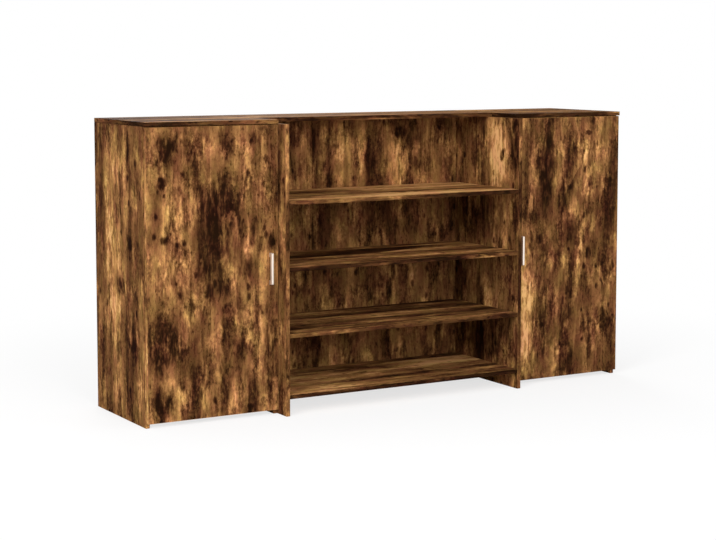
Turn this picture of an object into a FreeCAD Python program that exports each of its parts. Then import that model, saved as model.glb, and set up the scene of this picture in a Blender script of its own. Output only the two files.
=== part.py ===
import FreeCAD, Part
import math
import os

from FreeCAD import Vector

# A reception desk: two tall cabinets with a door each, and an open shelf unit with a counter between them.
# X runs along the desk, +Y points to the customer side, Z is up.
# The origin is on the floor, at the middle of the desk's footprint.

# Overall sizes of the three units
overall_height = 1035.0
cabinet_width = 500.0
cabinet_depth = 450.0
middle_width = 1000.0
middle_depth = 500.0
counter_depth = 300.0

# Boards
board = 15.0
edge_ease = 0.8
floor_gap = 17.0

# Heights and insets of the open middle unit
kick_height = 60.0
lower_bay_height = 200.0
work_height = 755.0
front_panel_inset = 60.0

# Doors, and the shelves behind them
door_gap = 2.0
door_reveal = 2.0
door_top_gap = 2.5
top_overhang = 3.0
shelf_count = 2
shelf_setback = 25.0
shelf_clearance = 1.0

# Bar pulls
pull_hole_spacing = 96.0
pull_leg = 14.0
pull_width = 8.0
pull_bar = 12.0
pull_projection = 20.0
pull_corner = 3.0
pull_edge_distance = 32.0
pull_screw_radius = 2.0
pull_screw_head_radius = 4.0
pull_screw_head_height = 2.6
pull_screw_bite = 12.0

# Concealed cup hinges
hinge_end_distance = 100.0
cup_radius = 17.5
cup_edge_distance = 4.0
cup_wall = 1.0
cup_front_skin = 3.0
cup_rim = 2.5
cup_flange = 1.0
cup_screw_spacing = 48.0
cup_screw_shift = 6.0
cup_ear_radius = 7.5
arm_half_width = 8.0
arm_height = 10.0
arm_wall = 1.5
arm_length = 62.0
arm_nose_radius = 3.0
arm_nose_setback = 0.5
arm_nose_floor_gap = 0.5
arm_cheek = 2.0
plate_setback = 37.0
plate_thickness = 2.0
plate_screw_spacing = 32.0
plate_ear_radius = 6.5
plate_length = 46.0
rivet_radius = 1.4
rivet_clearance = 0.05
link_knuckle_radius = 2.6
link_length = 10.0
link_thickness = 2.2
link_side_gap = 0.3
link_rise = 4.0
hinge_screw_radius = 1.8
hinge_screw_head_radius = 3.4
hinge_screw_head_height = 1.4
hinge_screw_bite = 9.0

# Door bumpers
bumper_radius = 4.0
bumper_clearance = 0.3
bumper_edge_distance = 8.0
bumper_end_distance = 30.0

# Joint fittings; small round pieces and their bores have flats, which keeps so many of them light
fit = 0.15
shank_sides = 6
fitting_sides = 8
edge_sides = 12
cam_radius = 7.4
cam_setback = 24.0
cam_floor = 3.0
cam_recess = 0.4
bolt_radius = 3.0
bolt_skin = 4.5
dowel_radius = 4.0
dowel_length = 30.0
dowel_skin = 5.0
fitting_inset = 60.0

# Shelf pins
pin_radius = 2.5
pin_depth = 9.0
pin_reach = 9.0
pin_paddle_width = 9.0
pin_paddle = 2.5
pin_drop = 0.5
pin_inset = 45.0

# Screws that join a cabinet to the middle unit
join_radius = 2.2
join_head_radius = 4.0
join_head_height = 2.4
join_skin = 4.0
join_end_distance = 140.0

# Places that follow from the sizes above
side_height = overall_height - board
half_length = middle_width / 2 + cabinet_width
back_y = middle_depth / 2
middle_front_y = -middle_depth / 2
cabinet_front_y = back_y - cabinet_depth
door_face_y = cabinet_front_y + top_overhang
door_back_y = door_face_y + board
case_front_y = door_back_y + door_gap
case_back_y = back_y - board
outer_x = -half_length
outer_face_x = outer_x + board
inner_x = -middle_width / 2
inner_face_x = inner_x - board
door_x = (outer_x + door_reveal, inner_x - door_reveal)
door_z = (floor_gap, side_height - door_top_gap)
door_middle_z = (door_z[0] + door_z[1]) / 2
case_floor_z = floor_gap + board
cup_x = door_x[0] + cup_edge_distance + cup_radius
cup_floor_y = door_face_y + cup_front_skin
nose_x = cup_x + arm_nose_setback
nose_y = cup_floor_y + cup_wall + arm_nose_floor_gap + arm_nose_radius
cheek_outside = arm_half_width - arm_wall
cheek_inside = cheek_outside - arm_cheek
middle_half = middle_width / 2
middle_inside = (board - middle_half, middle_half - board)
panel_y = (back_y - front_panel_inset - board, back_y - front_panel_inset)
counter_y = (back_y - counter_depth, back_y)
lower_bay_z = kick_height + board + lower_bay_height
work_z = work_height - board
fixed_shelves = {"base_shelf": kick_height, "work_shelf": work_z}
loose_shelves = {"lower_bay_shelf": lower_bay_z, "upper_bay_shelf": (lower_bay_z + work_z) / 2}

x_axis = Vector(1, 0, 0)
y_axis = Vector(0, 1, 0)
z_axis = Vector(0, 0, 1)

cabinet = {}
middle = {}
cuts = {}


def add(store, node, shape):
    """Put a solid into a node."""
    store.setdefault(node, []).append(shape)


def drill(node, cutter):
    """Remember a hole to be cut in a node's board."""
    cuts.setdefault(node, []).append(cutter)


def block(x, y, z):
    """A square-edged block between two limits along each axis."""
    return Part.makeBox(x[1] - x[0], y[1] - y[0], z[1] - z[0], Vector(x[0], y[0], z[0]))


def eased_board(x, y, z):
    """A board with its edges eased, as edge banding leaves them."""
    plain = block(x, y, z)
    return plain.makeChamfer(edge_ease, plain.Edges)


def rod(radius, start, along, length):
    """A round rod from a point."""
    return Part.makeCylinder(radius, length, start, along)


def prism(radius, start, along, length, sides):
    """A rod with flats whose corners lie on the radius."""
    across = x_axis if abs(along.z) > 0.5 else z_axis
    other = along.cross(across)
    turns = [2 * math.pi * index / sides for index in range(sides)]
    corners = [start + (across * math.cos(turn) + other * math.sin(turn)) * radius for turn in turns]
    return Part.Face(Part.makePolygon(corners + corners[:1])).extrude(along * length)


def bore(radius, start, along, length, sides):
    """The hole that a rod with flats goes into, with clearance all round."""
    return prism(radius + fit, start - along * fit, along, length + 2 * fit, sides)


def headed_screw(seat, into, radius, length, head_radius, head_height):
    """A pan-head screw whose head rests on a face at the seat."""
    head = prism(head_radius, seat, into * -1, head_height, fitting_sides)
    return head.fuse(prism(radius, seat, into, length, shank_sides)).removeSplitter()


def cam_joint(store, prefix, seat, into, face, drilled_board, panel):
    """A cam lock in one board draws in a bolt that is screwed into the panel it meets."""
    centre = seat + into * cam_setback
    pocket_floor = centre + face * (cam_floor - board / 2)
    bolt_bite = board - bolt_skin
    bolt_length = bolt_bite + cam_setback - cam_radius - fit
    bolt_start = seat - into * bolt_bite
    cam_height = board - cam_floor - cam_recess
    add(store, prefix + "cam_locks", prism(cam_radius, pocket_floor, face, cam_height, fitting_sides))
    add(store, prefix + "cam_bolts", prism(bolt_radius, bolt_start, into, bolt_length, shank_sides))
    drill(drilled_board, prism(cam_radius + fit, pocket_floor, face, board, fitting_sides))
    bolt_hole = bore(bolt_radius, bolt_start, into, bolt_length, shank_sides)
    drill(drilled_board, bolt_hole)
    drill(panel, bolt_hole)


def dowel_joint(store, prefix, seat, into, board_node, panel):
    """A glued dowel, partly in the panel's face and partly in the board's end."""
    start = seat - into * (board - dowel_skin)
    add(store, prefix + "dowels", prism(dowel_radius, start, into, dowel_length, fitting_sides))
    hole = bore(dowel_radius, start, into, dowel_length, fitting_sides)
    drill(panel, hole)
    drill(board_node, hole)


def shelf_pin(store, prefix, side, corner, inward):
    """A peg in the side, with a flat paddle that the shelf rests on."""
    start = corner - z_axis * (pin_radius + pin_drop) - inward * pin_depth
    peg = prism(pin_radius, start, inward, pin_depth + pin_reach / 2, shank_sides)
    span = sorted((corner.x, corner.x + inward.x * pin_reach))
    y = (corner.y - pin_paddle_width / 2, corner.y + pin_paddle_width / 2)
    paddle = block(span, y, (corner.z - pin_paddle, corner.z))
    add(store, prefix + "shelf_pins", peg.fuse(paddle).removeSplitter())
    drill(side, bore(pin_radius, start, inward, pin_depth - fit, shank_sides))


# Cabinet case: two sides, a top laid over them, and a bottom and a back between them
def cabinet_case():
    depth = (case_front_y, back_y)
    inside = (outer_face_x, inner_face_x)
    add(cabinet, "outer_side", eased_board((outer_x, outer_face_x), depth, (0, side_height)))
    add(cabinet, "inner_side", eased_board((inner_face_x, inner_x), depth, (0, side_height)))
    over_door = (cabinet_front_y, back_y)
    add(cabinet, "top", eased_board((outer_x, inner_x), over_door, (side_height, overall_height)))
    add(cabinet, "bottom", eased_board(inside, (case_front_y, case_back_y), (floor_gap, case_floor_z)))
    add(cabinet, "back", eased_board(inside, (case_back_y, back_y), (floor_gap, side_height)))
    case_joints()


def case_joints():
    rows = (case_front_y + fitting_inset, case_back_y - fitting_inset)
    bottom_z = floor_gap + board / 2
    back_plane = back_y - board / 2
    sides = (("outer_side", outer_face_x, x_axis), ("inner_side", inner_face_x, x_axis * -1))
    for side, face_x, inward in sides:
        side_plane = face_x - inward.x * board / 2
        for y in rows:
            cam_joint(cabinet, "", Vector(side_plane, y, side_height), z_axis * -1, inward, side, "top")
            cam_joint(cabinet, "", Vector(face_x, y, bottom_z), inward, z_axis * -1, "bottom", side)
        for z in (case_floor_z + fitting_inset, side_height - fitting_inset):
            dowel_joint(cabinet, "", Vector(face_x, back_plane, z), inward, "back", side)


# Cabinet shelves: they lie loose on spade pins pushed into the sides
def cabinet_shelves():
    bay = (side_height - case_floor_z - shelf_count * board) / (shelf_count + 1)
    x = (outer_face_x + shelf_clearance, inner_face_x - shelf_clearance)
    y = (case_front_y + shelf_setback, case_back_y - shelf_clearance)
    names = ("lower_shelf", "upper_shelf")
    for index, name in enumerate(names[:shelf_count]):
        z = case_floor_z + bay + index * (bay + board)
        add(cabinet, name, eased_board(x, y, (z, z + board)))
        for row in (y[0] + pin_inset, y[1] - pin_inset):
            shelf_pin(cabinet, "", "outer_side", Vector(outer_face_x, row, z), x_axis)
            shelf_pin(cabinet, "", "inner_side", Vector(inner_face_x, row, z), x_axis * -1)


# Door: one full-overlay board with cup bores, a bar pull and two bumpers
def cabinet_door():
    add(cabinet, "door", eased_board(door_x, (door_face_y, door_back_y), door_z))
    add_pull()
    for z in (door_z[0] + bumper_end_distance, door_z[1] - bumper_end_distance):
        place = Vector(door_x[1] - bumper_edge_distance, door_back_y, z)
        bumper = prism(bumper_radius, place, y_axis, door_gap - bumper_clearance, edge_sides)
        add(cabinet, "door_bumpers", bumper)


def add_pull():
    """A slim, deep bar on two legs, held from inside the door by two machine screws."""
    half = (pull_hole_spacing + pull_leg) / 2
    centre_x = door_x[1] - pull_edge_distance
    x = (centre_x - pull_width / 2, centre_x + pull_width / 2)
    front_y = door_face_y - pull_projection
    outer = block(x, (front_y, door_face_y), (door_middle_z - half, door_middle_z + half))
    corners = [e for e in outer.Edges if along_x(e) and e.CenterOfMass.y < door_face_y - pull_projection / 2]
    outer = outer.makeFillet(pull_corner, corners)
    gap_half = half - pull_leg
    gap = block(x, (front_y + pull_bar, door_face_y), (door_middle_z - gap_half, door_middle_z + gap_half))
    inner = [e for e in gap.Edges if along_x(e) and e.CenterOfMass.y < front_y + pull_bar + pull_corner]
    bow = outer.cut(gap.makeFillet(pull_corner - edge_ease, inner))
    for side in (-1, 1):
        seat = Vector(centre_x, door_back_y, door_middle_z + side * pull_hole_spacing / 2)
        length = board + pull_screw_bite
        hole = bore(pull_screw_radius, seat, y_axis * -1, length, shank_sides)
        bow = bow.cut(hole)
        drill("door", hole)
        screw = headed_screw(seat, y_axis * -1, pull_screw_radius, length, pull_screw_head_radius,
                             pull_screw_head_height)
        add(cabinet, "pull_screws", screw)
    add(cabinet, "door_pull", bow)


def along_x(edge):
    """Whether a straight edge runs along the desk."""
    return edge.BoundBox.YLength < edge_ease and edge.BoundBox.ZLength < edge_ease


# Cup hinges: the cup turns with the door, the arm and its plate stay on the cabinet's outer side
def cup_hinges():
    for z in (door_z[0] + hinge_end_distance, door_z[1] - hinge_end_distance):
        hinge_cup(z)
        hinge_plate(z)
        hinge_arm(z)
        hinge_link(z)


def hinge_cup(z):
    """A pressed cup with a rim and two screw ears on the door's inner face."""
    depth = door_back_y - cup_floor_y
    centre = Vector(cup_x, cup_floor_y, z)
    rim = rod(cup_radius + cup_rim, Vector(cup_x, door_back_y, z), y_axis, cup_flange)
    ear_x = cup_x + cup_screw_shift
    ears = z_slot(ear_x, door_back_y, z, cup_screw_spacing, cup_ear_radius, cup_flange)
    cup = rod(cup_radius, centre, y_axis, depth).fuse([rim, ears]).removeSplitter()
    cup = cup.cut(rod(cup_radius - cup_wall, centre + y_axis * cup_wall, y_axis, depth + cup_flange))
    drill("door", rod(cup_radius + fit, centre - y_axis * fit, y_axis, depth + cup_flange))
    for side in (-1, 1):
        seat = Vector(ear_x, door_back_y + cup_flange, z + side * cup_screw_spacing / 2)
        length = cup_flange + hinge_screw_bite
        hole = bore(hinge_screw_radius, seat, y_axis * -1, length, shank_sides)
        cup = cup.cut(hole)
        drill("door", hole)
        add(cabinet, "cup_screws", hinge_screw(seat, y_axis * -1, length))
    add(cabinet, "hinge_cups", cup)


def z_slot(x, y, z, spacing, radius, thickness):
    """A flat strap with round ends that stands upright, seen along Y."""
    strap = block((x - radius, x + radius), (y, y + thickness), (z - spacing / 2, z + spacing / 2))
    centres = [Vector(x, y, z + side * spacing / 2) for side in (-1, 1)]
    ends = [prism(radius, centre, y_axis, thickness, edge_sides) for centre in centres]
    return strap.fuse(ends).removeSplitter()


def hinge_screw(seat, into, length):
    """A small pan-head wood screw."""
    return headed_screw(seat, into, hinge_screw_radius, length, hinge_screw_head_radius,
                        hinge_screw_head_height)


def hinge_plate(z):
    """A cross-shaped plate screwed to the side; the arm clips on its long bar."""
    y = case_front_y + plate_setback
    foot = Vector(outer_face_x, y, z)
    bar_half = cheek_outside - link_side_gap
    x = (outer_face_x, outer_face_x + plate_thickness)
    bar = block(x, (y - plate_length / 2, y + plate_length / 2), (z - bar_half, z + bar_half))
    feet = [foot + z_axis * side * plate_screw_spacing / 2 for side in (-1, 1)]
    ends = [prism(plate_ear_radius, place, x_axis, plate_thickness, edge_sides) for place in feet]
    strap = block(x, (y - plate_ear_radius, y + plate_ear_radius), (feet[0].z, feet[1].z))
    plate = bar.fuse(ends + [strap]).removeSplitter()
    for place in feet:
        seat = place + x_axis * plate_thickness
        length = plate_thickness + hinge_screw_bite
        hole = bore(hinge_screw_radius, seat, x_axis * -1, length, shank_sides)
        plate = plate.cut(hole)
        drill("outer_side", hole)
        add(cabinet, "plate_screws", hinge_screw(seat, x_axis * -1, length))
    add(cabinet, "hinge_plates", plate)


def hinge_arm(z):
    """A folded steel channel that reaches from the plate into the cup, with a riveted fork at its nose."""
    base_x = outer_face_x + plate_thickness
    back = case_front_y + arm_length
    shell = block((base_x, base_x + arm_height), (door_back_y + cup_flange, back),
                  (z - arm_half_width, z + arm_half_width))
    hollow = block((base_x, base_x + arm_height - arm_wall), (door_back_y, back),
                   (z - cheek_outside, z + cheek_outside))
    arm = shell.cut(hollow)
    rivet_start = Vector(nose_x, nose_y, z - cheek_outside)
    for side in (-1, 1):
        low, high = sorted((z + side * cheek_inside, z + side * cheek_outside))
        x = (nose_x - arm_nose_radius, nose_x + arm_nose_radius)
        tongue = block(x, (nose_y, case_front_y + arm_nose_radius), (low, high))
        tip = prism(arm_nose_radius, Vector(nose_x, nose_y, low), z_axis, high - low, edge_sides)
        arm = arm.fuse([tongue, tip])
    rivet_hole = prism(rivet_radius + rivet_clearance, rivet_start, z_axis, 2 * cheek_outside, fitting_sides)
    add(cabinet, "hinge_arms", arm.removeSplitter().cut(rivet_hole))
    add(cabinet, "hinge_rivets", prism(rivet_radius, rivet_start, z_axis, 2 * cheek_outside, fitting_sides))


def hinge_link(z):
    """A short link on the nose rivet that points at the cup's edge side."""
    half_width = cheek_inside - link_side_gap
    base = Vector(nose_x, nose_y, z - half_width)
    reach = Vector(-link_length, link_rise, 0)
    reach = reach * (link_length / reach.Length)
    across = Vector(-reach.y, reach.x, 0) * (link_thickness / 2 / link_length)
    corners = [base + across, base + across + reach, base - across + reach, base - across]
    strip = Part.Face(Part.makePolygon(corners + corners[:1])).extrude(z_axis * 2 * half_width)
    knuckle = prism(link_knuckle_radius, base, z_axis, 2 * half_width, edge_sides)
    curl = prism(link_thickness / 2, base + reach, z_axis, 2 * half_width, edge_sides)
    link = strip.fuse([knuckle, curl]).removeSplitter()
    turning_radius = (rivet_radius + rivet_clearance) / math.cos(math.pi / fitting_sides)
    add(cabinet, "hinge_links", link.cut(prism(turning_radius, base, z_axis, 2 * half_width, fitting_sides)))


# Joining screws: driven from inside the cabinet through its inner side into the middle unit
def joining_screws():
    for z in (join_end_distance, side_height - join_end_distance):
        for y in (case_front_y + fitting_inset, case_back_y - fitting_inset):
            seat = Vector(inner_face_x, y, z)
            length = 2 * board - join_skin
            hole = bore(join_radius, seat, x_axis, length, shank_sides)
            drill("inner_side", hole)
            drill("middle_left_side", hole)
            drill("middle_right_side", mirrored(hole))
            screw = headed_screw(seat, x_axis, join_radius, length, join_head_radius, join_head_height)
            add(cabinet, "joining_screws", screw)


def mirrored(shape):
    """The same shape on the other side of the desk's middle."""
    return shape.mirror(Vector(0, 0, 0), x_axis)


# Middle unit: two sides, four shelves, a front panel set in on the customer side, and the counter top
def middle_boards():
    depth = (middle_front_y, back_y)
    add(middle, "middle_left_side", eased_board((-middle_half, middle_inside[0]), depth, (0, side_height)))
    add(middle, "middle_right_side", eased_board((middle_inside[1], middle_half), depth, (0, side_height)))
    add(middle, "front_panel", eased_board(middle_inside, panel_y, (floor_gap, side_height)))
    width = (-middle_half, middle_half)
    add(middle, "counter_top", eased_board(width, counter_y, (side_height, overall_height)))
    fixed_y = (middle_front_y, panel_y[0])
    for name, z in fixed_shelves.items():
        add(middle, name, eased_board(middle_inside, fixed_y, (z, z + board)))
    loose_x = (middle_inside[0] + shelf_clearance, middle_inside[1] - shelf_clearance)
    loose_y = (middle_front_y, panel_y[0] - shelf_clearance)
    for name, z in loose_shelves.items():
        add(middle, name, eased_board(loose_x, loose_y, (z, z + board)))


def middle_joints():
    """Cams hold the work shelf, base shelf and counter; the two shelves between lie on pins.

    The counter's cams are let into the outer faces, which the cabinets cover.
    """
    shelf_rows = (middle_front_y + fitting_inset, panel_y[0] - fitting_inset)
    counter_rows = (counter_y[0] + fitting_inset, panel_y[0] - fitting_inset)
    panel_plane = (panel_y[0] + panel_y[1]) / 2
    sides = (("middle_left_side", middle_inside[0], x_axis),
             ("middle_right_side", middle_inside[1], x_axis * -1))
    for side, face_x, inward in sides:
        side_plane = face_x - inward.x * board / 2
        for y in shelf_rows:
            for name, z in fixed_shelves.items():
                seat = Vector(face_x, y, z + board / 2)
                cam_joint(middle, "middle_", seat, inward, z_axis * -1, name, side)
            for z in loose_shelves.values():
                shelf_pin(middle, "middle_", side, Vector(face_x, y, z), inward)
        for y in counter_rows:
            seat = Vector(side_plane, y, side_height)
            cam_joint(middle, "middle_", seat, z_axis * -1, inward * -1, side, "counter_top")
        for z in (floor_gap + fitting_inset, side_height - fitting_inset):
            dowel_joint(middle, "middle_", Vector(face_x, panel_plane, z), inward, "front_panel", side)


def finished(node, solids):
    """The node's solids, with every hole that was remembered for it."""
    holes = cuts.get(node, [])
    if holes:
        solids = [solid.cut(holes) for solid in solids]
    return solids[0] if len(solids) == 1 else Part.makeCompound(solids)


def write(node, shape):
    """Save one node under its name."""
    shape.exportStep("parts/" + node + ".step")


cabinet_case()
cabinet_shelves()
cabinet_door()
cup_hinges()
joining_screws()
middle_boards()
middle_joints()

os.makedirs("parts", exist_ok=True)
for node, solids in cabinet.items():
    shape = finished(node, solids)
    write("left_" + node, shape)
    write("right_" + node, mirrored(shape))
for node, solids in middle.items():
    write(node, finished(node, solids))
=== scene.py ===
import math

import bmesh
import bpy
from mathutils import Matrix, Vector


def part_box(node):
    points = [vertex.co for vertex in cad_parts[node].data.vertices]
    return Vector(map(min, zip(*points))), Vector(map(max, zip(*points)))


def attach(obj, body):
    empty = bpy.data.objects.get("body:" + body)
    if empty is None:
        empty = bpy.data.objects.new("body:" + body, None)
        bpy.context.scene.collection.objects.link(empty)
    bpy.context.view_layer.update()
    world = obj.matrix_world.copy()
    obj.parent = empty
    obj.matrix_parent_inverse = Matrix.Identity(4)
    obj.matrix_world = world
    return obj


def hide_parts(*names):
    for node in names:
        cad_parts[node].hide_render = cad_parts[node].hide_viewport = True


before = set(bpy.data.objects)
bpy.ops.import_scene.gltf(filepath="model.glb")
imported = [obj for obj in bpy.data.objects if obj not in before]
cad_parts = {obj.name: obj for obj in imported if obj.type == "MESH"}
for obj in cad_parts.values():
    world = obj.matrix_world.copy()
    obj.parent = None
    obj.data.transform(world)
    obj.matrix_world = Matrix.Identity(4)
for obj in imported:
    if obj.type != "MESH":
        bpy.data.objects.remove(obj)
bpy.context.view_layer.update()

# Cabinet cases: sides, top, bottom and back of 15 mm particle board, held by cams and dowels. The boards are
# faced and edged with melamine paper that is printed as smoked oak, with the grain along each board.
mm = 0.001


def linear(hex_text):
    """An sRGB hex colour as linear red, green, blue and alpha."""
    channels = [int(hex_text[start:start + 2], 16) / 255 for start in (1, 3, 5)]
    return [c / 12.92 if c <= 0.04045 else ((c + 0.055) / 1.055) ** 2.4 for c in channels] + [1.0]


def add_node(tree, kind, inputs, **settings):
    """Add a shader node with its settings, and link or fill its inputs, which come by name or in order.

    A node among the inputs is linked by its first output.
    """
    made = tree.nodes.new("ShaderNode" + kind)
    for setting, value in settings.items():
        setattr(made, setting, value)
    for socket, value in inputs.items() if isinstance(inputs, dict) else enumerate(inputs):
        source = value.outputs[0] if isinstance(value, bpy.types.Node) else value
        if isinstance(source, bpy.types.NodeSocket):
            tree.links.new(source, made.inputs[socket])
        else:
            made.inputs[socket].default_value = source
    return made


def new_material(name):
    """An empty node material, and the tree to build it in."""
    material = bpy.data.materials.new(name)
    material.use_nodes = True
    material.node_tree.nodes.clear()
    return material, material.node_tree


# Smoked oak print on matt melamine: amber planks under clouds of dark smoke, mottled and finely grained, with
# short cracks and round knots. Calm and busy patches take turns, the hue drifts from olive to red, and the
# paper has shallow pressed pores. The fibres are drawn coarser than real ones, so that they show.
oak_tones = ((0.0, "#1A0D06"), (0.16, "#331D0F"), (0.34, "#52341D"), (0.50, "#6C492A"), (0.66, "#875F38"),
             (0.82, "#A97A48"), (1.0, "#D3A16A"))
tone_range = (-0.20, 1.24)
# Each drift of the sheet: its width and length in mm, and its reach across and along the grain.
drifts = (("sway", 120.0, 330.0, 10.0, 30.0),
          ("ragged", 40.0, 80.0, 14.0, 32.0),
          ("frayed", 10.0, 16.0, 5.0, 7.0))
drift_detail = 5.0
drift_roughness = 0.6
# Each scatter of cells: the sheet it lies on, and a cell's width and length in mm.
scatters = (("plank", "flat", 82.0, 1300.0),
            ("strip", "flat", 21.0, 420.0),
            ("knot", "frayed", 65.0, 105.0))
plank_tone = 0.5
plank_reach = 0.1
strip_reach = 0.065
# Each pattern: the sheet it lies on, its width and length in mm, the way it steps across and along the sheet
# from board to board, its detail and its roughness.
patterns = (("smoke", "sway", 70.0, 320.0, 0, 1, 6.0, 0.66),
            ("blots", "sway", 25.0, 50.0, 0, 1, 5.0, 0.66),
            ("mottle", "sway", 11.0, 14.0, 0, 1, 3.0, 0.60),
            ("streaks", "sway", 14.0, 50.0, 0, 1, 3.0, 0.55),
            ("lines", "sway", 8.0, 300.0, 0, 1, 1.0, 0.50),
            ("fibres", "sway", 2.4, 40.0, 0, 1, 2.0, 0.50),
            ("busy", "flat", 70.0, 120.0, -1, 0, 2.0, 0.50),
            ("long_cracks", "frayed", 9.0, 50.0, 1, 1, 1.0, 0.50),
            ("short_cracks", "frayed", 7.0, 16.0, 1, 1, 1.0, 0.50),
            ("hue", "sway", 50.0, 110.0, 1, 0, 6.0, 0.65))
# The tone that each layer adds or takes at most. On boards that lie flat, layers are longer and planks differ
# more.
layer_reaches = {"smoke": 0.16, "blots": 0.065, "mottle": 0.045, "streaks": 0.02, "lines": 0.01,
                 "fibres": 0.004}
layer_spread = (0.40, 0.60)
lying_stretch = 2.2
busy_spread = (0.35, 0.65)
busy_share = (0.35, 1.65)
burn_spread = (0.38, 0.62)
burn_share = (0.55, 1.45)
# A mark's edge: how it drifts, and the shares of the mark's half size between which it fades.
faint_edge = ("ragged", 0.3, 1.3)
dark_edge = ("frayed", 0.5, 1.2)
haze_edge = ("ragged", 0.1, 1.2)
core_edge = ("frayed", 0.2, 1.3)
darkest_faint = -0.3
# A knot's haze and core: their half sizes in radii, and their tones.
knot_haze = (3.0, 5.0, -0.10)
knot_core = (1.0, 1.6, -0.48)
# Small scattered knots, in cells: the share of cells without one, the largest radius, the edge and the tone.
knotless_share = 0.5
small_knot_radius = 0.11
small_knot_edge = (-0.06, 0.04)
small_knot_tone = -0.40
crack_spread = (0.63, 0.74)
crack_smoke = (0.35, 0.65)
crack_tones = (-0.22, -0.07)
hue_spread = (0.3, 0.7)
hue_range = (0.486, 0.514)
pore_spread = (0.2, 0.8)
paper_roughness = (0.62, 0.48)
paper_gloss = 0.002
pore_depth = 0.4
pore_strength = 0.12
# Steps on the sheet, in mm from face to face and in cells from board to board, and a face's skin in mm.
sheet_step = 1200.0
board_step = 41.7
face_skin = 0.05


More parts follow.
